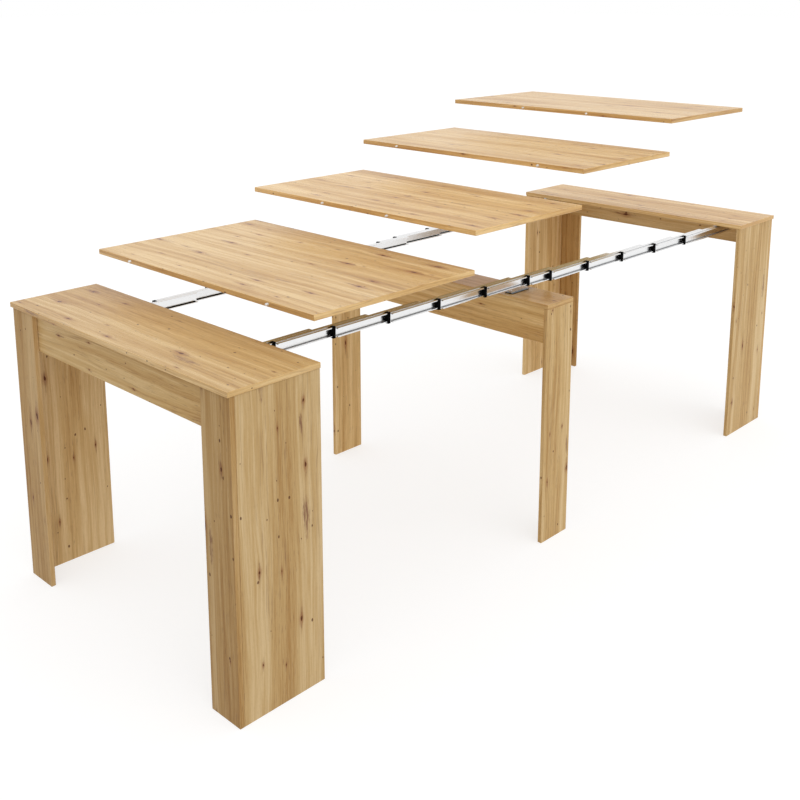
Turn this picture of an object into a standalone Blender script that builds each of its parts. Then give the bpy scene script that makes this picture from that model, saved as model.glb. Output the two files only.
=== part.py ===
"""Extending console table: two end frames, a middle frame, four leaves, two telescopic rails.

Metres, +Z up, +X to the right, the table opens along Y. The near frame is at -Y.
The pose is fully open, with the leaves lifted off the rails.
"""
import math

import bmesh
import bpy

# Overall sizes
WIDTH = 0.900            # end tops, side to side
HEIGHT = 0.7515          # floor to top surface
BOARD = 0.0125           # boards of the frames
EDGE = 0.0008            # chamfer on board edges
JOIN = 0.0003            # gap between pieces that are joined

# End frames
FRAME_DEPTH = 0.2445     # end top, front to back
SIDE_INSET = 0.0025      # leg behind the top's side edge
FRONT_INSET = 0.006      # leg behind the top's front edge
STRIP_WIDTH = 0.099      # front strip of each leg
APRON_HEIGHT = 0.098

# Leaves and pegs
LONG_LEAF = 0.5244       # depth of the first leaf
LEAF = 0.4494            # depth of the other leaves
LEAF_EXTRA = 0.001       # leaf thicker than the end tops
LEAF_SIDE_GAP = 0.0055   # leaf's side behind the inner face of the legs
LEAF_GAP = 0.0012        # between neighbours in the open table
LEAF_LIFT = 0.0985       # each leaf is held this much above the one before it
PEG_WIDE = 0.276         # pegs of the first and third leaf, from the middle
PEG_NARROW = 0.126       # pegs of the second and fourth leaf, from the middle
PEG_RADIUS = 0.003
PEG_OUT = 0.0075         # peg beyond the leaf's edge
PEG_IN = 0.012           # peg inside the leaf
PEG_NOSE = 0.0015        # rounded end
SOCKET_PLAY = 0.0005     # round the peg in the hole that takes it
SOCKET_DEPTH = 0.009
ROUND_SIDES = 20
NOSE_STEPS = 3

# Middle frame
MID_SIDE_GAP = 0.004     # middle frame to the legs it closes between
MID_DEPTH = 0.118
MID_APRON_SETBACK = 0.002
MID_CLEAR = 0.0155       # rail to middle top
MID_OFFSET = 0.1538      # centre of the middle frame from its section's near end
BRACKET_BACK = 0.003     # bracket nearer than the frame's centre
BRACKET_LENGTH = 0.075
BRACKET_PLATE = 0.0025
BRACKET_WING = 0.011     # plate beyond the riser on the inner side
BRACKET_TOE = 0.0048     # plate beyond the riser on the outer side

# Rails: sections counted from the near frame, each one pitch further out
SECTIONS = 12
MID_SECTION = 5
SHORT_STEP = 7           # the section that opens by the short step
RAIL_INSET = 0.06375     # outer face of the last section to the legs
RAIL_PITCH = 0.01175
RAIL_HEIGHT = 0.0264
RAIL_WEB = 0.002
RAIL_SKIN = 0.0015       # flanges that wrap the neighbour
RAIL_ROOF = 0.0014       # flange above the channel, at its thinnest
RAIL_FLOOR = 0.0022      # flange below the channel
RAIL_RUN = 0.0003        # running gap above and below
NOSE_GAP = 0.00075       # neighbour's outer face to the web
HEEL_GAP = 0.0005        # flange end to the neighbour's web
HOOK = 0.001
HOOK_WIDTH = 0.002
HOOK_PLAY = 0.0004
RAIL_OVERLAP = 0.1274    # of neighbours up to the short step, when open
RAIL_HOLD = 0.1355       # first section under the near top
STAGGER = 0.0068         # near ends of neighbours when the table is closed
MID_STEP = 0.0883        # open step of the short one
STEP_EXTRA = 0.0066      # steps before the short one longer than those after
CLOSED_GAP = 0.001       # between the end tops when closed

# Plastic caps on the near ends of the sections
CAP_LENGTH = 0.008
CAP_RISE = 0.0008        # cap above and below the rail
CAP_SETBACK = 0.0003     # cap behind the web's outer face
CAP_GRIP = 0.0005        # section inside its cap
TONGUE = 0.008           # tongue in the neighbour's channel
TONGUE_PLAY = 0.0005

# Sizes that follow from those above
LEAF_DEPTHS = (LONG_LEAF, LEAF, LEAF, LEAF)
OPENING = sum(LEAF_DEPTHS) + LEAF_GAP * (len(LEAF_DEPTHS) + 1)
SPAN = 2 * FRAME_DEPTH + OPENING
TRAVEL = OPENING - CLOSED_GAP
FRONT = -SPAN / 2
LEG_X = WIDTH / 2 - SIDE_INSET
INNER_X = LEG_X - BOARD
RAIL_X = INNER_X - RAIL_INSET - RAIL_PITCH * (SECTIONS - 1)
LEG_TOP = HEIGHT - BOARD - JOIN
LEAF_X = INNER_X - LEAF_SIDE_GAP
LEAF_THICK = BOARD + LEAF_EXTRA
SEAT = HEIGHT - LEAF_THICK
PEG_Z = HEIGHT - LEAF_THICK / 2
RAIL_TOP = SEAT - JOIN - CAP_RISE
MID_X = INNER_X - MID_SIDE_GAP
MID_TOP = RAIL_TOP - RAIL_HEIGHT - MID_CLEAR
RAIL_START = FRONT + FRAME_DEPTH - RAIL_HOLD
RAIL_SPREAD = TRAVEL - STAGGER * (SECTIONS - 1)
FAR_STEP = (RAIL_SPREAD - MID_STEP - STEP_EXTRA * (SHORT_STEP - 1)) / (SECTIONS - 2)
NEAR_STEP = FAR_STEP + STEP_EXTRA
SECTION_LENGTH = NEAR_STEP + RAIL_OVERLAP

# Outline of a section, from its outer face inwards and from its top down
WEB_IN = NOSE_GAP - RAIL_PITCH
WEB_OUT = WEB_IN + RAIL_WEB
HEEL = WEB_OUT - RAIL_PITCH + HEEL_GAP
HOOK_X = HEEL + HOOK_WIDTH
STEP_X = HOOK_X + RAIL_PITCH + HOOK_PLAY
WRAP_Z = RAIL_SKIN
HOOK_Z = WRAP_Z + HOOK
NOSE_Z = WRAP_Z + RAIL_RUN
STEP_Z = HOOK_Z + RAIL_RUN
ROOF_Z = STEP_Z + RAIL_ROOF
FLOOR_Z = RAIL_HEIGHT - NOSE_Z - RAIL_FLOOR
CAP_OUT = WEB_OUT - CAP_SETBACK


def section_outline():
    """Channel that opens inwards and wraps the neighbour, then one that opens outwards."""
    low = RAIL_HEIGHT
    return [
        (HEEL, 0), (WEB_OUT, 0), (WEB_OUT, -STEP_Z), (STEP_X, -STEP_Z), (STEP_X, -NOSE_Z), (0, -NOSE_Z),
        (0, -ROOF_Z), (WEB_OUT, -ROOF_Z), (WEB_OUT, -FLOOR_Z), (0, -FLOOR_Z),
        (0, NOSE_Z - low), (STEP_X, NOSE_Z - low), (STEP_X, STEP_Z - low), (WEB_OUT, STEP_Z - low),
        (WEB_OUT, -low), (HEEL, -low), (HEEL, HOOK_Z - low), (HOOK_X, HOOK_Z - low), (HOOK_X, WRAP_Z - low),
        (WEB_IN, WRAP_Z - low), (WEB_IN, -WRAP_Z), (HOOK_X, -WRAP_Z), (HOOK_X, -HOOK_Z), (HEEL, -HOOK_Z),
    ]


def cap_outline():
    """Cap round the inward channel, open where the neighbour runs through."""
    low = RAIL_HEIGHT
    return [
        (HEEL, CAP_RISE), (CAP_OUT, CAP_RISE), (CAP_OUT, -low - CAP_RISE), (HEEL, -low - CAP_RISE),
        (HEEL, HOOK_Z - low), (HOOK_X, HOOK_Z - low), (HOOK_X, WRAP_Z - low),
        (WEB_IN, WRAP_Z - low), (WEB_IN, -WRAP_Z), (HOOK_X, -WRAP_Z), (HOOK_X, -HOOK_Z), (HEEL, -HOOK_Z),
    ]


def tongue_outline():
    """Tongue that runs in the neighbour's outward channel."""
    high = -ROOF_Z - TONGUE_PLAY
    low = -FLOOR_Z + TONGUE_PLAY
    return [(HEEL, high), (CAP_OUT, high), (CAP_OUT, low), (HEEL, low)]


def near_end(k):
    """Y of a section's near end with the table open."""
    if k < SHORT_STEP:
        return RAIL_START + NEAR_STEP * k
    return RAIL_START + NEAR_STEP * (SHORT_STEP - 1) + MID_STEP + FAR_STEP * (k - SHORT_STEP)


def outer_x(k):
    """X of a section's outer face on the right rail."""
    return RAIL_X + RAIL_PITCH * k


def make_material(name, color, roughness, metallic=0.0):
    mat = bpy.data.materials.new(name)
    mat.use_nodes = True
    shader = mat.node_tree.nodes["Principled BSDF"]
    shader.inputs["Base Color"].default_value = (*color, 1.0)
    shader.inputs["Roughness"].default_value = roughness
    shader.inputs["Metallic"].default_value = metallic
    return mat


def add_object(name, bm, location, mat):
    bmesh.ops.recalc_face_normals(bm, faces=bm.faces[:])
    mesh = bpy.data.meshes.new(name)
    bm.to_mesh(mesh)
    bm.free()
    obj = bpy.data.objects.new(name, mesh)
    obj.location = location
    obj.data.materials.append(mat)
    bpy.context.scene.collection.objects.link(obj)
    return obj


def add_board(name, low, high, mat):
    """Board between two corners, with chamfered edges, its origin at the centre."""
    centre = [(a + b) / 2 for a, b in zip(low, high)]
    size = [b - a for a, b in zip(low, high)]
    bm = bmesh.new()
    bmesh.ops.create_cube(bm, size=1.0)
    bmesh.ops.scale(bm, vec=size, verts=bm.verts[:])
    bmesh.ops.bevel(bm, geom=bm.edges[:], offset=EDGE, segments=1, affect="EDGES")
    return add_object(name, bm, centre, mat)


def add_prism(name, outline, start, end, location, mat, side=1):
    """Outline in X and Z carried along Y. The left side is the mirror of the right."""
    bm = bmesh.new()
    near = [bm.verts.new((side * x, start, z)) for x, z in outline]
    far = [bm.verts.new((side * x, end, z)) for x, z in outline]
    bm.faces.new(near)
    bm.faces.new(far)
    for i in range(len(outline)):
        j = (i + 1) % len(outline)
        bm.faces.new((near[i], near[j], far[j], far[i]))
    return add_object(name, bm, location, mat)


def ring(bm, x, y, z, radius):
    """Circle of vertices round an axis along Y."""
    verts = []
    for i in range(ROUND_SIDES):
        angle = 2 * math.pi * i / ROUND_SIDES
        verts.append(bm.verts.new((x + radius * math.cos(angle), y, z + radius * math.sin(angle))))
    return verts


def loft(bm, rings):
    """Closed round body through rings in a row."""
    bm.faces.new(rings[0])
    bm.faces.new(rings[-1])
    for a, b in zip(rings, rings[1:]):
        for i in range(ROUND_SIDES):
            j = (i + 1) % ROUND_SIDES
            bm.faces.new((a[i], a[j], b[j], b[i]))


def combine(obj, tool, operation):
    """Join the tool to the object or cut it out, then drop the tool."""
    mod = obj.modifiers.new("combine", "BOOLEAN")
    mod.operation = operation
    mod.solver = "EXACT"
    mod.object = tool
    bpy.context.view_layer.update()
    graph = bpy.context.evaluated_depsgraph_get()
    mesh = bpy.data.meshes.new_from_object(obj.evaluated_get(graph))
    obj.modifiers.clear()
    obj.data = mesh
    mesh.name = obj.name
    bpy.data.objects.remove(tool)


def drill(obj, holes, mat):
    """Round blind holes along Y: x, mouth y, end y, z, radius of each."""
    bm = bmesh.new()
    for x, mouth, end, z, radius in holes:
        start = mouth + math.copysign(EDGE, mouth - end)
        loft(bm, [ring(bm, x, start, z, radius), ring(bm, x, end, z, radius)])
    combine(obj, add_object("drill", bm, (0, 0, 0), mat), "DIFFERENCE")


def peg_x(i):
    """Distance of a leaf's pegs from the middle, leaves counted from 0."""
    return PEG_WIDE if i % 2 == 0 else PEG_NARROW


def sockets(edge, z, i):
    """Holes in the edge that faces leaf i, for that leaf's pegs."""
    radius = PEG_RADIUS + SOCKET_PLAY
    return [(s * peg_x(i), edge, edge - SOCKET_DEPTH, z, radius) for s in (-1, 1)]


def add_end_frame(name, turn, oak):
    """Near frame with turn 1, far frame with turn -1."""
    def span(a, b):
        ends = (turn * (FRONT + a), turn * (FRONT + b))
        return min(ends), max(ends)

    y0, y1 = span(0, FRAME_DEPTH)
    top = add_board(f"{name}_top", (-WIDTH / 2, y0, HEIGHT - BOARD), (WIDTH / 2, y1, HEIGHT), oak)
    if turn > 0:
        drill(top, sockets(y1, PEG_Z, 0), oak)
    y0, y1 = span(FRONT_INSET + BOARD + JOIN, FRAME_DEPTH)
    for label, s in (("left", -1), ("right", 1)):
        x0, x1 = sorted((s * INNER_X, s * LEG_X))
        add_board(f"{name}_side_{label}", (x0, y0, 0), (x1, y1, LEG_TOP), oak)
    y0, y1 = span(FRONT_INSET, FRONT_INSET + BOARD)
    for label, s in (("left", -1), ("right", 1)):
        x0, x1 = sorted((s * (LEG_X - STRIP_WIDTH), s * LEG_X))
        add_board(f"{name}_strip_{label}", (x0, y0, 0), (x1, y1, LEG_TOP), oak)
    y0, y1 = span(FRONT_INSET + BOARD + JOIN, FRONT_INSET + 2 * BOARD + JOIN)
    x1 = INNER_X - JOIN
    add_board(f"{name}_apron", (-x1, y0, LEG_TOP - APRON_HEIGHT), (x1, y1, LEG_TOP), oak)


def add_mid_frame(oak):
    y = near_end(MID_SECTION) + MID_OFFSET
    y0 = y - MID_DEPTH / 2
    y1 = y + MID_DEPTH / 2
    under = MID_TOP - BOARD
    add_board("mid_top", (-MID_X, y0, under), (MID_X, y1, MID_TOP), oak)
    for label, s in (("left", -1), ("right", 1)):
        x0, x1 = sorted((s * (MID_X - BOARD), s * MID_X))
        add_board(f"mid_leg_{label}", (x0, y0, 0), (x1, y1, under - JOIN), oak)
    x1 = MID_X - BOARD - JOIN
    for label, edge in (("near", y0 + MID_APRON_SETBACK), ("far", y1 - MID_APRON_SETBACK - BOARD)):
        low = (-x1, edge, under - JOIN - APRON_HEIGHT)
        add_board(f"mid_apron_{label}", low, (x1, edge + BOARD, under - JOIN), oak)


def add_leaves(oak, plastic):
    edge = FRONT + FRAME_DEPTH
    for i, depth in enumerate(LEAF_DEPTHS):
        y0 = edge + LEAF_GAP
        y1 = y0 + depth
        lift = LEAF_LIFT * (i + 1)
        low = (-LEAF_X, y0, SEAT + lift)
        leaf = add_board(f"leaf_{i + 1}", low, (LEAF_X, y1, HEIGHT + lift), oak)
        z = PEG_Z + lift
        holes = [(s * peg_x(i), y0, y0 + PEG_IN + JOIN, z, PEG_RADIUS + JOIN) for s in (-1, 1)]
        if i + 1 < len(LEAF_DEPTHS):
            holes += sockets(y1, z, i + 1)
        drill(leaf, holes, oak)
        for label, s in (("left", -1), ("right", 1)):
            add_peg(f"peg_{i + 1}_{label}", (s * peg_x(i), y0, z), plastic)
        edge = y1


def add_peg(name, location, plastic):
    """Round peg along Y with a rounded nose, its origin at the leaf's edge."""
    bm = bmesh.new()
    rings = [ring(bm, 0, PEG_IN, 0, PEG_RADIUS)]
    for i in range(NOSE_STEPS):
        angle = math.pi / 2 * i / NOSE_STEPS
        y = PEG_NOSE * (1 - math.sin(angle)) - PEG_OUT
        rings.append(ring(bm, 0, y, 0, PEG_RADIUS * math.cos(angle)))
    loft(bm, rings)
    add_object(name, bm, location, plastic)


def add_rails(aluminium, steel):
    for label, s in (("left", -1), ("right", 1)):
        for k in range(SECTIONS):
            name = f"rail_{label}_{k:02d}"
            place = (s * outer_x(k), near_end(k), RAIL_TOP)
            start = 0 if k == 0 else CAP_LENGTH - CAP_GRIP
            section = add_prism(name, section_outline(), start, SECTION_LENGTH, place, aluminium, s)
            if k == 0:
                continue
            cap = add_prism("cap", cap_outline(), 0, CAP_LENGTH, place, aluminium, s)
            combine(section, cap, "UNION")
            if k < SECTIONS - 1:
                tongue = add_prism("tongue", tongue_outline(), -TONGUE, CAP_GRIP, place, aluminium, s)
                combine(section, tongue, "UNION")
        add_plates(label, s, steel)
        add_bracket(label, s, steel)


def add_plates(label, s, steel):
    """Flat bars between the rail's end sections and the end tops."""
    low = RAIL_TOP + JOIN
    outline = [(HEEL, low), (CAP_OUT, low), (CAP_OUT, LEG_TOP), (HEEL, LEG_TOP)]
    y0 = near_end(0)
    y1 = FRONT + FRAME_DEPTH
    add_prism(f"near_plate_{label}", outline, 0, y1 - y0, (s * outer_x(0), y0, 0), steel, s)
    y0 = FRONT + FRAME_DEPTH + OPENING
    y1 = near_end(SECTIONS - 1) + SECTION_LENGTH
    place = (s * outer_x(SECTIONS - 1), y0, 0)
    add_prism(f"far_plate_{label}", outline, 0, y1 - y0, place, steel, s)


def add_bracket(label, s, steel):
    """Plate on the middle top with a riser under the middle section."""
    low = MID_TOP + JOIN
    high = MID_TOP + MID_CLEAR - JOIN
    step = low + BRACKET_PLATE
    toe = CAP_OUT + BRACKET_TOE
    outline = [
        (HEEL - BRACKET_WING, low), (toe, low), (toe, step), (CAP_OUT, step),
        (CAP_OUT, high), (HEEL, high), (HEEL, step), (HEEL - BRACKET_WING, step),
    ]
    y = near_end(MID_SECTION) + MID_OFFSET - BRACKET_BACK - BRACKET_LENGTH / 2
    place = (s * outer_x(MID_SECTION), y, 0)
    add_prism(f"mid_bracket_{label}", outline, 0, BRACKET_LENGTH, place, steel, s)


for old in list(bpy.data.objects):
    bpy.data.objects.remove(old)

oak = make_material("oak_board", (0.62, 0.47, 0.31), 0.5)
plastic = make_material("white_plastic", (0.85, 0.85, 0.83), 0.4)
aluminium = make_material("rail_aluminium", (0.80, 0.80, 0.80), 0.3, 1.0)
steel = make_material("bracket_steel", (0.35, 0.35, 0.36), 0.4, 1.0)

add_end_frame("near", 1, oak)
add_end_frame("far", -1, oak)
add_mid_frame(oak)
add_leaves(oak, plastic)
add_rails(aluminium, steel)
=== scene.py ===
"""Looks of the extending table: oak boards, bright rails with black end caps, studio floor and light."""
import math

import bmesh
import bpy
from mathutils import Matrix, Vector


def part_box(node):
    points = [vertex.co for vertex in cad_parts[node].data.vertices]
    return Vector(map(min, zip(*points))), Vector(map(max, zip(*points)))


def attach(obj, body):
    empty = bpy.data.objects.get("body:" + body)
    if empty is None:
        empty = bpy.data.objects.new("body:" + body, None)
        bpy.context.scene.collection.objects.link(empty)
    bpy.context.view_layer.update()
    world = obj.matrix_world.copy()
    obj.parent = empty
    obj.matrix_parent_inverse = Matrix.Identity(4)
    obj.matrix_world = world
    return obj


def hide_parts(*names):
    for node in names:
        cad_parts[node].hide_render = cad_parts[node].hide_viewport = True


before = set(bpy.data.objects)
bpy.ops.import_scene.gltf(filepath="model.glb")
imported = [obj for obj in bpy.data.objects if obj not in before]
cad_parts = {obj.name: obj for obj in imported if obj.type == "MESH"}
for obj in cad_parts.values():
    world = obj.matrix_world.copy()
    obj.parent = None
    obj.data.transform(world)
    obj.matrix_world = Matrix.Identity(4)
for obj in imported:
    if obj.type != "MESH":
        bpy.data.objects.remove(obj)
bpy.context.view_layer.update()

X, Y, Z = range(3)

# Rail section in metres, as in the part's source. X is 0 at its outer lip, Z counts down from its top
SECTIONS = 12
MID_SECTION = 5
SECTION_LENGTH = 0.301491
RAIL_TOP = 0.7369
RAIL_HEIGHT = 0.0264
HEEL = -0.02025
HOOK_X = -0.01825
WEB_IN = -0.011
WEB_OUT = -0.009
STEP_X = -0.0061
WRAP_Z = 0.0015
HOOK_Z = 0.0025
NOSE_Z = 0.0018
STEP_Z = 0.0028
ROOF_Z = 0.0042
FLOOR_Z = 0.0224

# End cap, as in the part's source
CAP_OUT = -0.0093
CAP_RISE = 0.0008
CAP_LENGTH = 0.008
CAP_GRIP = 0.0005
TONGUE_PLAY = 0.0005

# Rail details after the photo, not as in the part's source: deeper cap, shorter tongue, thin strips
CAP_DROP = 0.0022
TONGUE = 0.002
STRIP_THICK = 0.0003
STRIP_SUNK = 0.0001
STRIP_END = 0.003
DARK_STRIP_HEIGHT = 0.0026
GREY_STRIP_WIDTH = 0.0034

# Bracket on the middle frame, as in the part's source
BRACKET_PLATE = 0.0025
BRACKET_WING = 0.011
BRACKET_TOE = 0.0048

# Peg: radius and nose as in the part's source, with more sides and steps
PEG_RADIUS = 0.003
PEG_NOSE = 0.0015
PEG_SIDES = 32
PEG_STEPS = 6

# Rounded edges: size and steps for each piece, and the angles in degrees that count as an edge
SECTION_ROUND = (0.0002, 2)
CAP_ROUND = (0.00045, 3)
BRACKET_ROUND = (0.0004, 3)
ROUND_ANGLE = 30.0
SMOOTH_ANGLE = 40.0

# Camera near the photo's own. It looks slightly down with less shift, so other views show the whole table
CAMERA_PLACE = (2.0709, -2.3736, 1.5166)
CAMERA_TURN = (78.229, 0.0, 44.065)
CAMERA_LENS = 48.35
CAMERA_SENSOR = 36.0
CAMERA_SHIFT = -0.23
CAMERA_REACH = 500.0

# Floor: half its width, level under the feet, looks, and its glow as seen and as light on the table
FLOOR_HALF = 60.0
FLOOR_LEVEL = -0.0002
FLOOR_COLOR = (0.36, 0.36, 0.36)
FLOOR_ROUGHNESS = 0.9
FLOOR_SEEN = 0.70
FLOOR_LIGHT = 0.38

# Light: the white surroundings as seen and as light, then suns with direction, spread in degrees and level
WHITE_LIGHT = (1.0, 1.0, 1.0)
SKY_SEEN = 1.0
SKY_LIGHT = 0.5
SUNS = {
    "top_light": ((0.10, -0.05, 1.0), 100.0, 0.42),
    "right_light": ((1.0, -0.10, 0.42), 80.0, 0.24),
}

# Noises of the oak print: waves for each metre along and across the grain, detail and roughness
GRAIN = {
    "waver": (1.5, 7.0, 2.0, 0.5),
    "ripple": (9.0, 28.0, 2.0, 0.5),
    "ragged": (75.0, 260.0, 3.0, 0.6),
    "bands": (0.7, 13.0, 2.0, 0.5),
    "broad": (1.6, 60.0, 2.0, 0.5),
    "streaks": (3.2, 190.0, 3.0, 0.6),
    "fibres": (16.0, 760.0, 3.0, 0.65),
    "cracks": (1.2, 44.0, 2.0, 0.5),
    "rare": (1.7, 10.0, 1.0, 0.5),
    "broken": (24.0, 320.0, 2.0, 0.5),
    "flecks": (26.0, 330.0, 1.0, 0.5),
    "pores": (70.0, 1900.0, 2.0, 0.5),
}

# The part of a noise's range that is stretched to 0 to 1
STRETCH = {
    "bands": (0.32, 0.68),
    "broad": (0.30, 0.70),
    "streaks": (0.32, 0.68),
    "fibres": (0.30, 0.70),
    "rare": (0.42, 0.62),
    "broken": (0.36, 0.62),
    "flecks": (0.66, 0.76),
    "pores": (0.58, 0.72),
}

# Waver of the grain in metres, uneven rims of marks, how far grain opens at a knot, slips of two noises
WAVER_DEPTH = 0.030
RIPPLE_DEPTH = 0.0040
RAGGED_DEPTH = 0.8
GRAIN_OPENS = -0.55
RARE_SLIP = 4.0
FLECK_SLIP = 9.0

# Spots of the oak print, one at most in a cell: cell length and width, sizes from and to, slip of the cells
SPOTS = {
    "knot": (0.18, 0.062, 0.38, 1.50, 0.0),
    "cluster": (0.46, 0.150, 0.6, 1.5, 2.3),
    "pin": (0.080, 0.030, 0.5, 1.4, 5.9),
}
SPOT_SPREAD = 0.8
SPOT_BIAS = 2.0
KNOT_CHANCE = 0.58
CLUSTER_CHANCE = 0.60
PIN_CHANCE = 0.24
PIN_CHANCE_AT_KNOT = 0.7

# Marks at a spot: half length and half width at size 1, raggedness, and the rim from outside to inside
MARKS = {
    "knot": (0.0070, 0.0032, 1.0, 1.05, 0.70),
    "ring": (0.0070, 0.0032, 1.0, 3.6, 0.9),
    "halo": (0.065, 0.0125, 0.0, 1.0, 0.0),
    "tail": (0.052, 0.0030, 0.8, 1.0, 0.2),
    "cluster": (0.045, 0.0070, 0.8, 1.1, 0.35),
    "pin": (0.0034, 0.0022, 0.4, 1.1, 0.7),
}

# Colours of the oak print, weights of the noises in its tone, and the tones between two colours
OAK_LIGHT = (0.730, 0.512, 0.246)
OAK_MEDIUM = (0.590, 0.372, 0.144)
OAK_DARK = (0.435, 0.232, 0.072)
TONE = {"base": 0.12, "bands": 0.34, "streaks": 0.22, "fibres": 0.20}
LIGHT_TONES = (0.10, 0.56)
DARK_TONES = (0.50, 0.98)

# Colour of each mark, and how much of it covers the print
STAINS = {
    "line": ((0.300, 0.160, 0.068), 0.45),
    "fleck": ((0.280, 0.150, 0.070), 0.42),
    "cluster": ((0.240, 0.108, 0.058), 0.85),
    "halo": ((0.350, 0.170, 0.062), 1.0),
    "ring": ((0.330, 0.122, 0.042), 0.50),
    "tail": ((0.185, 0.076, 0.034), 0.78),
    "knot": ((0.105, 0.026, 0.008), 0.94),
    "pin": ((0.115, 0.040, 0.018), 0.88),
    "pore": ((0.320, 0.180, 0.075), 0.22),
}

# Width of the brown lines, and weight and base where one noise fades a mark
LINE_RIM = (0.030, 0.003)
FLECK_BANDS = (0.2, 0.7)
LINE_FADE = (0.7, 0.3)
CLUSTER_FADE = (0.75, 0.25)
HALO_FADE = (0.34, 0.16)

# Relief and roughness of the oak print
RELIEF = {"fibres": 0.35, "pores": -0.6, "knot": -0.4}
ROUGH = {"base": 0.25, "fibres": 0.07, "pores": 0.10, "bands": 0.04}
OAK_BUMP = (0.35, 0.00012)

# Boards: when a face counts as turned to an axis, and where in the print edges, ends, backs and cuts lie
TURNED = (0.60, 0.61)
EDGE_SLIP = 3.7
END_SLIP = 7.3
BACK_SLIP = 11.3
CUT_ALONG = 5.17
CUT_ACROSS = 2.39

# Boards by kind: grain axis, the face's other axis, gloss, depth of the stripes, tint
FLAT_GLOSS = 0.3
UPRIGHT_GLOSS = 0.06
KINDS = {
    "flat": (X, Y, FLAT_GLOSS, 0.42, (1.0, 1.0, 1.0)),
    "apron": (X, Z, UPRIGHT_GLOSS, 0.30, (1.0, 1.03, 1.10)),
    "near_side": (Z, Y, UPRIGHT_GLOSS, 0.22, (1.0, 1.05, 1.19)),
    "far_side": (Z, Y, UPRIGHT_GLOSS, 0.36, (1.0, 1.05, 1.18)),
    "strip": (Z, X, UPRIGHT_GLOSS, 0.34, (1.0, 0.97, 0.98)),
}

# Single boards: tone against the print, for edges and by name, and the cut where it isn't the next in turn.
# The tones by name are partly each board's own tone and partly painted light: lighter far leaves and far
# top for painted sheen, lighter inner boards on the left against their shade
EDGE_TONE = 1.07
BOARD_TONES_AND_PAINTED_LIGHT = {
    "near_strip_left": 0.805, "near_strip_right": 0.763, "near_side_left": 1.07, "near_side_right": 0.925,
    "leaf_1": 1.11, "leaf_2": 1.20, "leaf_3": 1.15, "leaf_4": 1.13, "far_top": 1.18,
    "mid_top": 1.01, "mid_apron_near": 1.20, "mid_leg_left": 1.22, "mid_leg_right": 1.03,
    "far_side_left": 1.22, "far_side_right": 1.03, "far_strip_left": 0.95, "far_strip_right": 0.95,
}
BOARD_CUTS = {"near_strip_left": 21, "near_strip_right": 24, "near_side_right": 16, "mid_leg_right": 20}

# Metal: drawn lines and cloudy patches as noises, slant of the lines over an edge, dull share, bump
DRAWN = (9.0, 2600.0, 3.0, 0.6)
CLOUD = (14.0, 60.0, 2.0, 0.5)
METAL_SLANT = 1.37
METAL_DULL = 0.96
METAL_BUMP = (0.03, 0.00001)
MIDDLE = (0.3, 0.7)

# Painted reflection of the leaves on the right rail's tops: range across the table, range where the painted
# reflection ends, faces that look up
REFLECTION_SIDE = (-0.1, 0.1)
REFLECTION_END = (0.45, 0.25)
REFLECTION_FACING = (0.5, 0.9)

# Plastic: scale of the pebbles and of the slow patches, the patches' paler tone, spread of roughness, bump
PEBBLES = 2400.0
PATCHES = PEBBLES / 40
PLASTIC_PALE = 1.25
PLASTIC_SPREAD = 0.12
PLASTIC_BUMP = (0.15, 0.00005)


class Tree:
    """Adds shader nodes to a tree and gives their outputs."""

    def __init__(self, tree):
        self.tree = tree

    def node(self, kind, values=None, out=0, **settings):
        """One node, with values or links on its inputs."""
        made = self.tree.nodes.new("ShaderNode" + kind)
        for name, value in settings.items():
            setattr(made, name, value)
        for key, value in (values or {}).items():
            if isinstance(value, bpy.types.NodeSocket):
                self.tree.links.new(value, made.inputs[key])
            else:
                made.inputs[key].default_value = value
        return made.outputs[out]

    def math(self, operation, *values):
        return self.node("Math", dict(enumerate(values)), operation=operation)

    def add(self, *values):
        total = values[0]
        for value in values[1:]:
            total = self.math("ADD", total, value)
        return total

    def times(self, *values):
        total = values[0]
        for value in values[1:]:
            total = self.math("MULTIPLY", total, value)
        return total

    def vector(self, x, y):
        return self.node("CombineXYZ", {0: x, 1: y})

    def waves(self, along, across, kind):
        """Noise between about 0.25 and 0.75 over a plane, from waves each way, detail and roughness."""
        count_along, count_across, detail, rough = kind
        place = self.vector(self.times(along, count_along), self.times(across, count_across))
        values = {"Vector": place, "Scale": 1.0, "Detail": detail, "Roughness": rough}
        return self.node("TexNoise", values, noise_dimensions="2D")

    def ramp(self, value, start, end):
        """Smooth step of a value, 0 at the start and 1 at the end."""
        values = {"Value": value, 1: start, 2: end}
        return self.node("MapRange", values, interpolation_type="SMOOTHSTEP")

    def mix(self, share, first, second):
        """Colour between two colours."""
        values = {0: share, 6: first, 7: second}
        return self.node("Mix", values, out=2, data_type="RGBA")

    def choose(self, share, first, second):
        """Number between two numbers."""
        return self.node("Mix", {0: share, 2: first, 3: second}, data_type="FLOAT")

    def split(self, vector):
        """The three numbers of a vector or colour."""
        made = self.tree.nodes.new("ShaderNodeSeparateXYZ")
        self.tree.links.new(vector, made.inputs[0])
        return list(made.outputs)

    def oval(self, du, dv, length, width):
        """1 on the rim of an oval with these half sizes."""
        a = self.math("DIVIDE", du, length)
        b = self.math("DIVIDE", dv, width)
        return self.math("SQRT", self.math("MULTIPLY_ADD", a, a, self.times(b, b)))

    def cells(self, u, v, length, width):
        """Scattered points, one in each cell: distance along and across the grain, three random numbers."""
        place = self.vector(self.math("DIVIDE", u, length), self.math("DIVIDE", v, width))
        made = self.tree.nodes.new("ShaderNodeTexVoronoi")
        made.voronoi_dimensions = "2D"
        made.inputs["Scale"].default_value = 1.0
        made.inputs["Randomness"].default_value = SPOT_SPREAD
        self.tree.links.new(place, made.inputs["Vector"])
        away = self.node("VectorMath", {0: place, 1: made.outputs["Position"]}, operation="SUBTRACT")
        du, dv = self.split(away)[:2]
        return self.times(du, length), self.times(dv, width), self.split(made.outputs["Color"])


def rgb(red, green, blue):
    return (red, green, blue, 1.0)


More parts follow.
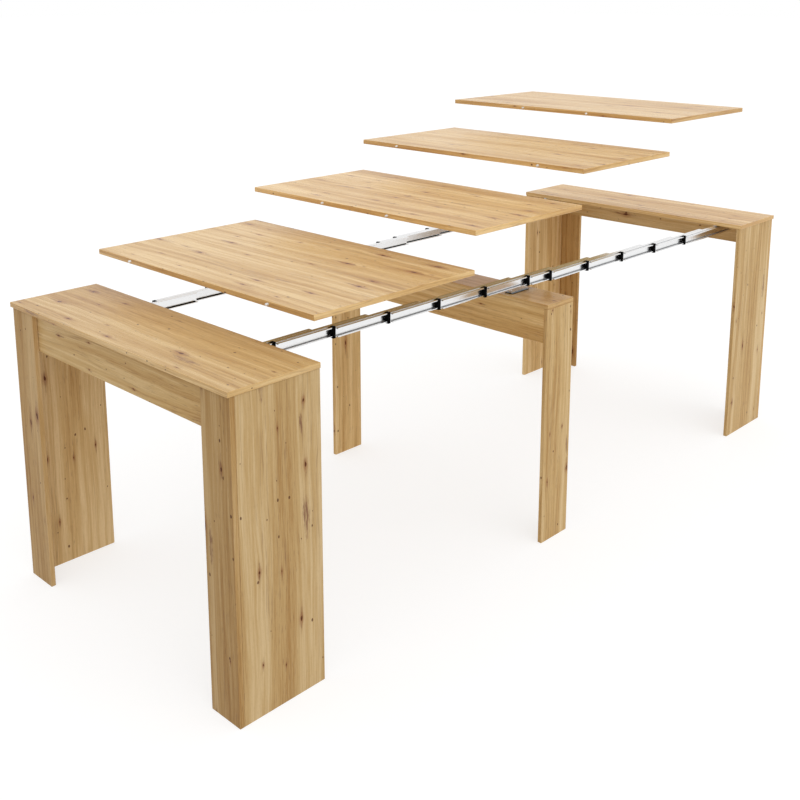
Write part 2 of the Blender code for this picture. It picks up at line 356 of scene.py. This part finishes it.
def oak_print():
    """Node group for the oak decor, from metres along and across the grain and the depth of the stripes."""
    group = bpy.data.node_groups.new("oak_print", "ShaderNodeTree")
    for name in ("Along", "Across", "Stripes"):
        group.interface.new_socket(name, in_out="INPUT", socket_type="NodeSocketFloat")
    group.interface.new_socket("Color", in_out="OUTPUT", socket_type="NodeSocketColor")
    group.interface.new_socket("Roughness", in_out="OUTPUT", socket_type="NodeSocketFloat")
    group.interface.new_socket("Height", in_out="OUTPUT", socket_type="NodeSocketFloat")
    t = Tree(group)
    source = group.nodes.new("NodeGroupInput")
    u, v = source.outputs["Along"], source.outputs["Across"]

    def field(name, line):
        """A noise of the print."""
        return t.waves(u, line, GRAIN[name])

    def stretched(name, line):
        """A noise of the print, stretched to 0 to 1."""
        return t.ramp(field(name, line), *STRETCH[name])

    def scatter(name, chance):
        """Spots of a kind: distance along and across, size, and 1 where the cell has one."""
        length, width, small, large, slip = SPOTS[name]
        du, dv, random = t.cells(t.add(u, slip), t.add(bent, slip), length, width)
        size = t.math("MULTIPLY_ADD", t.math("POWER", random[0], SPOT_BIAS), large - small, small)
        return du, dv, size, t.math("LESS_THAN", random[1], chance)

    def mark(name, du, dv, size, there):
        """1 inside a mark at a spot."""
        length, width, rough, outside, inside = MARKS[name]
        rim = t.oval(du, dv, t.times(size, length), t.times(size, width))
        rim = t.add(rim, t.times(ragged, rough))
        return t.times(t.ramp(rim, outside, inside), there)

    def faded(noise, weight, base):
        return t.math("MULTIPLY_ADD", noise, weight, base)

    def stained(color, name, mask):
        """Colour with a mark's own colour where the mask is 1."""
        stain, share = STAINS[name]
        return t.mix(t.times(mask, share), color, rgb(*stain))

    # Slow waver of the grain
    waver = t.times(field("waver", v), WAVER_DEPTH)
    bent = t.add(v, waver, t.times(field("ripple", v), RIPPLE_DEPTH))
    ragged = t.math("MULTIPLY_ADD", field("ragged", v), 2 * RAGGED_DEPTH, -RAGGED_DEPTH)

    # Knots, each with a reddish ring and a tail along the grain
    knots = scatter("knot", KNOT_CHANCE)
    core, ring, halo, tail = [mark(name, *knots) for name in ("knot", "ring", "halo", "tail")]

    # Grain that opens round a knot
    grain = t.add(bent, t.times(knots[1], halo, GRAIN_OPENS))
    bands = stretched("bands", grain)
    broad = stretched("broad", grain)
    streaks = stretched("streaks", grain)
    fibres = stretched("fibres", grain)
    stripes = t.times(t.add(broad, -0.5), source.outputs["Stripes"])
    tone = t.add(
        t.times(bands, TONE["bands"]), stripes, t.times(streaks, TONE["streaks"]),
        t.times(fibres, TONE["fibres"]), TONE["base"],
    )
    light = t.mix(t.ramp(tone, *LIGHT_TONES), rgb(*OAK_LIGHT), rgb(*OAK_MEDIUM))
    color = t.mix(t.ramp(tone, *DARK_TONES), light, rgb(*OAK_DARK))

    # Thin brown lines in some bands, and short flecks
    crack = t.math("ABSOLUTE", t.add(field("cracks", grain), -0.5))
    rare = stretched("rare", t.add(grain, RARE_SLIP))
    broken = stretched("broken", grain)
    line = t.times(t.ramp(crack, *LINE_RIM), rare, faded(broken, *LINE_FADE))
    color = stained(color, "line", line)
    fleck = t.times(stretched("flecks", t.add(grain, FLECK_SLIP)), t.ramp(bands, *FLECK_BANDS))
    color = stained(color, "fleck", fleck)

    # Long brown clusters
    cluster = mark("cluster", *scatter("cluster", CLUSTER_CHANCE))
    color = stained(color, "cluster", t.times(cluster, faded(broken, *CLUSTER_FADE)))

    # Colour of the knots
    color = stained(color, "halo", t.times(halo, faded(streaks, *HALO_FADE)))
    color = stained(color, "ring", ring)
    color = stained(color, "tail", t.times(tail, broken))
    color = stained(color, "knot", core)

    # Pin knots, more of them near a knot
    pin_chance = faded(halo, PIN_CHANCE_AT_KNOT, PIN_CHANCE)
    color = stained(color, "pin", mark("pin", *scatter("pin", pin_chance)))

    # Pores pressed into the face
    pores = stretched("pores", grain)
    color = stained(color, "pore", pores)
    height = t.add(
        t.times(fibres, RELIEF["fibres"]), t.times(pores, RELIEF["pores"]), t.times(core, RELIEF["knot"])
    )
    rough = t.add(
        ROUGH["base"], t.times(fibres, ROUGH["fibres"]),
        t.times(pores, ROUGH["pores"]), t.times(bands, ROUGH["bands"]),
    )

    sink = group.nodes.new("NodeGroupOutput")
    group.links.new(color, sink.inputs["Color"])
    group.links.new(rough, sink.inputs["Roughness"])
    group.links.new(height, sink.inputs["Height"])
    return group


def new_material(name):
    """Node material, with its tree helper and its shader."""
    material = bpy.data.materials.new(name)
    material.use_nodes = True
    return material, Tree(material.node_tree), material.node_tree.nodes["Principled BSDF"]


def set_bump(t, shader, height, strength, distance):
    bump = t.node("Bump", {"Strength": strength, "Distance": distance, "Height": height})
    t.tree.links.new(bump, shader.inputs["Normal"])


def place_and_facing(t):
    """Place on the piece and direction of its face, three numbers each."""
    return t.split(t.node("TexCoord", out="Object")), t.split(t.node("TexCoord", out="Normal"))


def oak_material(name, kind, cut, tone):
    """Oak decor for one board of a kind, from its cut of the print and its tone, which for some boards
    holds painted light.
    """
    along, across, gloss, stripes, tint = KINDS[kind]
    thick = X + Y + Z - along - across
    material, t, shader = new_material(name)
    place, facing = place_and_facing(t)
    end = t.ramp(t.math("ABSOLUTE", facing[along]), *TURNED)
    edge = t.ramp(t.math("ABSOLUTE", facing[across]), *TURNED)
    back = t.ramp(facing[thick], *TURNED)
    u = t.choose(end, place[along], place[across])
    v = t.choose(edge, place[across], t.add(place[thick], EDGE_SLIP))
    v = t.choose(end, v, t.add(place[thick], END_SLIP))
    v = t.add(v, t.times(back, BACK_SLIP), cut * CUT_ACROSS)
    decor = t.tree.nodes.new("ShaderNodeGroup")
    decor.node_tree = OAK
    t.tree.links.new(t.add(u, cut * CUT_ALONG), decor.inputs["Along"])
    t.tree.links.new(v, decor.inputs["Across"])
    decor.inputs["Stripes"].default_value = stripes
    level = t.choose(t.math("MAXIMUM", end, edge), tone, tone * EDGE_TONE)
    tinted = t.node("VectorMath", {0: decor.outputs["Color"], 1: tint}, operation="MULTIPLY")
    color = t.node("VectorMath", {0: tinted, "Scale": level}, operation="SCALE")
    t.tree.links.new(color, shader.inputs["Base Color"])
    t.tree.links.new(decor.outputs["Roughness"], shader.inputs["Roughness"])
    shader.inputs["Specular IOR Level"].default_value = gloss
    set_bump(t, shader, decor.outputs["Height"], *OAK_BUMP)
    return material


def painted_reflection_tops(t, place, facing):
    """1 where the leaves' reflection is painted: the upper faces of the right rail, above the channels'
    step and up to the far end.
    """
    size = SECTION_ROUND[0]
    step = RAIL_TOP - STEP_Z
    upper = t.ramp(place[Z], step + size, step + size * 2)
    reflected_span = t.times(t.ramp(place[X], *REFLECTION_SIDE), t.ramp(place[Y], *REFLECTION_END))
    return t.times(t.ramp(facing[Z], *REFLECTION_FACING), upper, reflected_span)


def metal_material(name, color, roughness, spread, satin=0.0, leaf_reflection=None):
    """Metal with fine drawn lines along Y. A brown painted reflection of the leaves goes on the right
    rail's tops, which are satin.
    """
    material, t, shader = new_material(name)
    place, facing = place_and_facing(t)
    across = t.add(place[X], t.times(place[Z], METAL_SLANT))
    drawn = t.waves(place[Y], across, DRAWN)
    cloud = t.waves(place[Y], across, CLOUD)
    shade = t.ramp(t.add(t.times(drawn, 0.5), t.times(cloud, 0.5)), *MIDDLE)
    dull = [c * METAL_DULL for c in color]
    look = t.mix(shade, rgb(*dull), rgb(*color))
    rough = t.math("MULTIPLY_ADD", t.add(drawn, cloud), spread, roughness - spread)
    if leaf_reflection:
        # Painted reflection: brown colour on the right rail's upper faces
        top = painted_reflection_tops(t, place, facing)
        look = t.mix(top, look, rgb(*leaf_reflection))
        rough = t.add(rough, t.times(top, satin))
    t.tree.links.new(look, shader.inputs["Base Color"])
    t.tree.links.new(rough, shader.inputs["Roughness"])
    shader.inputs["Metallic"].default_value = 1.0
    set_bump(t, shader, drawn, *METAL_BUMP)
    return material


def plastic_material(name, color, roughness, gloss=0.5):
    """Moulded plastic with a fine pebbled face."""
    material, t, shader = new_material(name)
    place = t.node("TexCoord", out="Object")
    fine = t.node("TexNoise", {"Vector": place, "Scale": PEBBLES, "Detail": 3.0})
    slow = t.node("TexNoise", {"Vector": place, "Scale": PATCHES, "Detail": 2.0})
    pale = [min(1.0, c * PLASTIC_PALE) for c in color]
    look = t.mix(t.ramp(slow, *MIDDLE), rgb(*color), rgb(*pale))
    rough = t.math("MULTIPLY_ADD", fine, PLASTIC_SPREAD, roughness - PLASTIC_SPREAD / 2)
    t.tree.links.new(look, shader.inputs["Base Color"])
    t.tree.links.new(rough, shader.inputs["Roughness"])
    shader.inputs["Specular IOR Level"].default_value = gloss
    set_bump(t, shader, fine, *PLASTIC_BUMP)
    return material


def dress(node, material):
    """New material on a CAD node that keeps its shape."""
    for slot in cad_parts[node].material_slots:
        slot.link = "OBJECT"
        slot.material = material


def add_piece(name, bm, material, body, node=None, smooth=False):
    """New piece on a body, with the material it is given. It may stand for a CAD node, which it hides."""
    bmesh.ops.recalc_face_normals(bm, faces=bm.faces[:])
    mesh = bpy.data.meshes.new(name)
    bm.to_mesh(mesh)
    bm.free()
    mesh.materials.append(material)
    if smooth:
        mesh.shade_smooth()
        mesh.set_sharp_from_angle(angle=math.radians(SMOOTH_ANGLE))
    piece = bpy.data.objects.new(name, mesh)
    bpy.context.scene.collection.objects.link(piece)
    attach(piece, body)
    if node:
        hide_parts(node)


def prism(outline, x, y, z, side, length):
    """Mesh of an outline in X and Z carried along Y. The left side is the mirror of the right."""
    bm = bmesh.new()
    near = [bm.verts.new((side * (x + a), y, z + b)) for a, b in outline]
    far = [bm.verts.new((v.co.x, y + length, v.co.z)) for v in near]
    bm.faces.new(near)
    bm.faces.new(far)
    for i, first in enumerate(near):
        j = (i + 1) % len(near)
        bm.faces.new((first, near[j], far[j], far[i]))
    return bm


def round_edges(bm, size, steps):
    """Rounds every edge where two faces meet at more than the rounding angle."""
    bmesh.ops.recalc_face_normals(bm, faces=bm.faces[:])
    least = math.radians(ROUND_ANGLE)
    sharp = [e for e in bm.edges if len(e.link_faces) == 2 and e.calc_face_angle() > least]
    bmesh.ops.bevel(
        bm, geom=sharp, offset=size, segments=steps, profile=0.5, affect="EDGES", clamp_overlap=True
    )


def joined(first, second):
    """Mesh of two closed meshes made one."""
    made = []
    for i, bm in enumerate((first, second)):
        bmesh.ops.recalc_face_normals(bm, faces=bm.faces[:])
        mesh = bpy.data.meshes.new(f"join_{i}")
        bm.to_mesh(mesh)
        bm.free()
        obj = bpy.data.objects.new(f"join_{i}", mesh)
        bpy.context.scene.collection.objects.link(obj)
        made.append(obj)
    union = made[0].modifiers.new("union", "BOOLEAN")
    union.operation = "UNION"
    union.solver = "EXACT"
    union.object = made[1]
    bpy.context.view_layer.update()
    result = made[0].evaluated_get(bpy.context.evaluated_depsgraph_get())
    bm = bmesh.new()
    bm.from_mesh(result.to_mesh())
    result.to_mesh_clear()
    for obj in made:
        mesh = obj.data
        bpy.data.objects.remove(obj)
        bpy.data.meshes.remove(mesh)
    return bm


def rectangle(left, right, low, high):
    return [(left, high), (right, high), (right, low), (left, low)]


def section_outline():
    """Channel that opens inwards and wraps the neighbour, then one that opens outwards."""
    low = RAIL_HEIGHT
    return [
        (HEEL, 0), (WEB_OUT, 0), (WEB_OUT, -STEP_Z), (STEP_X, -STEP_Z), (STEP_X, -NOSE_Z), (0, -NOSE_Z),
        (0, -ROOF_Z), (WEB_OUT, -ROOF_Z), (WEB_OUT, -FLOOR_Z), (0, -FLOOR_Z),
        (0, NOSE_Z - low), (STEP_X, NOSE_Z - low), (STEP_X, STEP_Z - low), (WEB_OUT, STEP_Z - low),
        (WEB_OUT, -low), (HEEL, -low), (HEEL, HOOK_Z - low), (HOOK_X, HOOK_Z - low), (HOOK_X, WRAP_Z - low),
        (WEB_IN, WRAP_Z - low), (WEB_IN, -WRAP_Z), (HOOK_X, -WRAP_Z), (HOOK_X, -HOOK_Z), (HEEL, -HOOK_Z),
    ]


def cap_outline():
    """Cap round the inward channel, open where the neighbour runs through."""
    low = RAIL_HEIGHT
    return [
        (HEEL, CAP_RISE), (CAP_OUT, CAP_RISE), (CAP_OUT, -low - CAP_DROP), (HEEL, -low - CAP_DROP),
        (HEEL, HOOK_Z - low), (HOOK_X, HOOK_Z - low), (HOOK_X, WRAP_Z - low),
        (WEB_IN, WRAP_Z - low), (WEB_IN, -WRAP_Z), (HOOK_X, -WRAP_Z), (HOOK_X, -HOOK_Z), (HEEL, -HOOK_Z),
    ]


def tongue_outline():
    """Tongue that runs in the neighbour's outward channel."""
    return rectangle(HEEL, CAP_OUT, -FLOOR_Z + TONGUE_PLAY, -ROOF_Z - TONGUE_PLAY)


def grey_strip_outline():
    """Grey strip on the floor of the outward channel, beside the web."""
    left = WEB_OUT + STRIP_THICK
    return rectangle(left, left + GREY_STRIP_WIDTH, -FLOOR_Z - STRIP_SUNK, -FLOOR_Z + STRIP_THICK)


def dark_strip_outline():
    """Black strip at the foot of the web's inner face."""
    foot = -RAIL_HEIGHT + WRAP_Z
    return rectangle(WEB_IN - STRIP_THICK, WEB_IN + STRIP_SUNK, foot - STRIP_SUNK, foot + DARK_STRIP_HEIGHT)


def body_of(label, k):
    """Body that carries a rail section."""
    ends = {0: "near_frame", MID_SECTION: "mid_frame", SECTIONS - 1: "far_frame"}
    return ends.get(k, f"section_{label}_{k:02d}")


def add_section(label, side, k):
    """One rail section with its strips and end cap, in the place of the CAD node."""
    node = f"rail_{label}_{k:02d}"
    body = body_of(label, k)
    low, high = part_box(node)
    x = high.x if side > 0 else -low.x
    y = high.y - SECTION_LENGTH
    start = 0.0 if k == 0 else CAP_LENGTH - CAP_GRIP
    bm = prism(section_outline(), x, y + start, RAIL_TOP, side, SECTION_LENGTH - start)
    round_edges(bm, *SECTION_ROUND)
    add_piece(f"rail_section_{label}_{k:02d}", bm, ALUMINIUM, body, node)
    length = SECTION_LENGTH - start - 2 * STRIP_END
    # Thin grey and black strips darken the channel's floor beside the web and the foot of the web's inner
    # face
    for part, outline, material in (("grey_strip", grey_strip_outline(), GREY_STRIP_PLASTIC), ("dark_strip", dark_strip_outline(), BLACK)):
        bm = prism(outline, x, y + start + STRIP_END, RAIL_TOP, side, length)
        add_piece(f"rail_{part}_{label}_{k:02d}", bm, material, body)
    if k == 0:
        return
    bm = prism(cap_outline(), x, y, RAIL_TOP, side, CAP_LENGTH)
    if k < SECTIONS - 1:
        bm = joined(bm, prism(tongue_outline(), x, y - TONGUE, RAIL_TOP, side, TONGUE + CAP_GRIP))
    round_edges(bm, *CAP_ROUND)
    add_piece(f"rail_cap_{label}_{k:02d}", bm, BLACK, body)


def add_bracket(label, side):
    """Plate in steel darkened with a painted reflection of the rail's shaded underside, and bright riser,
    in the place of the CAD bracket.
    """
    node = f"mid_bracket_{label}"
    low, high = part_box(node)
    toe = CAP_OUT + BRACKET_TOE
    x = (high.x if side > 0 else -low.x) - CAP_OUT - BRACKET_TOE
    length = high.y - low.y
    plate = rectangle(HEEL - BRACKET_WING, toe, low.z, low.z + BRACKET_PLATE)
    riser = rectangle(HEEL, CAP_OUT, low.z, high.z)
    bm = prism(plate, x, low.y, 0.0, side, length)
    round_edges(bm, *BRACKET_ROUND)
    add_piece(f"bracket_plate_{label}", bm, STEEL_WITH_PAINTED_REFLECTION, "mid_frame", node)
    bm = prism(riser, x, low.y + BRACKET_PLATE, 0.0, side, length - 2 * BRACKET_PLATE)
    round_edges(bm, *BRACKET_ROUND)
    add_piece(f"bracket_riser_{label}", bm, STEEL, "mid_frame")


def add_peg(node, body):
    """Smooth peg with a rounded nose, in the place of the CAD node."""
    low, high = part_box(node)
    middle = (low + high) / 2
    profile = [(high.y, PEG_RADIUS)]
    for step in range(PEG_STEPS):
        angle = math.pi / 2 * step / PEG_STEPS
        profile.append((low.y + PEG_NOSE * (1 - math.sin(angle)), PEG_RADIUS * math.cos(angle)))
    turns = [2 * math.pi * i / PEG_SIDES for i in range(PEG_SIDES)]
    bm = bmesh.new()
    rings = []
    for y, radius in profile:
        spots = [(middle.x + radius * math.cos(a), y, middle.z + radius * math.sin(a)) for a in turns]
        rings.append([bm.verts.new(spot) for spot in spots])
    for near, far in zip(rings[1:], rings):
        for i in range(PEG_SIDES):
            j = (i + 1) % PEG_SIDES
            bm.faces.new((near[i], near[j], far[j], far[i]))
    bm.faces.new(rings[0])
    tip = bm.verts.new((middle.x, low.y, middle.z))
    for i in range(PEG_SIDES):
        bm.faces.new((rings[-1][i], rings[-1][(i + 1) % PEG_SIDES], tip))
    add_piece(f"smooth_{node}", bm, WHITE, body, node, smooth=True)


def dress_boards():
    """Oak decor on every board. Each takes the next cut of the print, or its own."""
    sides = ("left", "right")
    boards = {
        "flat": ["near_top", "far_top", "mid_top"] + [f"leaf_{i}" for i in (1, 2, 3, 4)],
        "apron": ["near_apron", "far_apron", "mid_apron_near", "mid_apron_far"],
        "near_side": [f"near_side_{b}" for b in sides],
        "far_side": [f"{a}_{b}" for a in ("far_side", "mid_leg") for b in sides],
        "strip": [f"{a}_strip_{b}" for a in ("near", "far") for b in sides],
    }
    named = [(kind, node) for kind, nodes in boards.items() for node in nodes]
    for turn, (kind, node) in enumerate(named, start=1):
        cut = BOARD_CUTS.get(node, turn)
        dress(node, oak_material(f"oak_{node}", kind, cut, BOARD_TONES_AND_PAINTED_LIGHT.get(node, 1.0)))


def add_sun(name, towards, spread, level):
    """Wide soft sun. A white face turned to it gets this level of light."""
    lamp = bpy.data.lights.new(name, "SUN")
    lamp.angle = math.radians(spread)
    lamp.energy = level * math.pi
    light = bpy.data.objects.new(name, lamp)
    light.rotation_euler = Vector(towards).to_track_quat("Z", "Y").to_euler()
    bpy.context.scene.collection.objects.link(light)


def seen_ray(t):
    """1 for rays that show the surroundings as they look: to the camera, in gloss and through glass."""
    path = t.tree.nodes.new("ShaderNodeLightPath")
    kinds = [path.outputs[n] for n in ("Is Camera Ray", "Is Glossy Ray", "Is Transmission Ray")]
    return t.math("MINIMUM", t.add(*kinds), 1.0)


def add_floor():
    """White floor that keeps a faint shadow."""
    bm = bmesh.new()
    bmesh.ops.create_grid(bm, x_segments=2, y_segments=2, size=FLOOR_HALF)
    mesh = bpy.data.meshes.new("floor")
    bm.to_mesh(mesh)
    bm.free()
    floor = bpy.data.objects.new("floor", mesh)
    floor.location.z = FLOOR_LEVEL
    bpy.context.scene.collection.objects.link(floor)
    material, t, shader = new_material("floor_white")
    shader.inputs["Base Color"].default_value = rgb(*FLOOR_COLOR)
    shader.inputs["Roughness"].default_value = FLOOR_ROUGHNESS
    shader.inputs["Specular IOR Level"].default_value = 0.0
    shader.inputs["Emission Color"].default_value = rgb(*WHITE_LIGHT)
    t.tree.links.new(t.choose(seen_ray(t), FLOOR_LIGHT, FLOOR_SEEN), shader.inputs["Emission Strength"])
    mesh.materials.append(material)


def add_light():
    """White surroundings, and soft light from above and from the right."""
    world = bpy.data.worlds.new("studio")
    world.use_nodes = True
    bpy.context.scene.world = world
    t = Tree(world.node_tree)
    sky = world.node_tree.nodes["Background"]
    sky.inputs["Color"].default_value = rgb(*WHITE_LIGHT)
    t.tree.links.new(t.choose(seen_ray(t), SKY_LIGHT, SKY_SEEN), sky.inputs["Strength"])
    for name, (towards, spread, level) in SUNS.items():
        add_sun(name, towards, spread, level)


def add_camera():
    data = bpy.data.cameras.new("camera")
    data.sensor_width = CAMERA_SENSOR
    data.lens = CAMERA_LENS
    data.shift_y = CAMERA_SHIFT
    data.clip_end = CAMERA_REACH
    camera = bpy.data.objects.new("camera", data)
    camera.location = CAMERA_PLACE
    camera.rotation_euler = [math.radians(a) for a in CAMERA_TURN]
    bpy.context.scene.collection.objects.link(camera)
    bpy.context.scene.camera = camera


OAK = oak_print()
# The brown colour on the right rail's tops is a painted reflection of the leaves above them
ALUMINIUM = metal_material(
    "bright_aluminium", (0.845, 0.85, 0.855), roughness=0.22, spread=0.04,
    satin=0.42, leaf_reflection=(0.54, 0.45, 0.23),
)
STEEL = metal_material("plated_steel", (0.70, 0.70, 0.71), roughness=0.22, spread=0.05)
# The plate's near-black colour is a painted dark reflection of the rail's shaded underside
STEEL_WITH_PAINTED_REFLECTION = metal_material("steel_painted_dark_reflection", (0.085, 0.085, 0.09), roughness=0.24, spread=0.06)
BLACK = plastic_material("black_plastic", (0.0012, 0.0012, 0.0013), roughness=0.46, gloss=0.02)
GREY_STRIP_PLASTIC = plastic_material("grey_strip_plastic", (0.110, 0.110, 0.115), roughness=0.32)
WHITE = plastic_material("white_plastic", (0.72, 0.72, 0.71), roughness=0.34)

add_camera()
add_floor()
add_light()
dress_boards()
for label, side in (("left", -1), ("right", 1)):
    for k in range(SECTIONS):
        add_section(label, side, k)
    for node in (f"near_plate_{label}", f"far_plate_{label}"):
        dress(node, STEEL)
    add_bracket(label, side)
    for i in (1, 2, 3, 4):
        add_peg(f"peg_{i}_{label}", f"loose_leaf_{i}")

bpy.context.scene.view_settings.view_transform = "Standard"
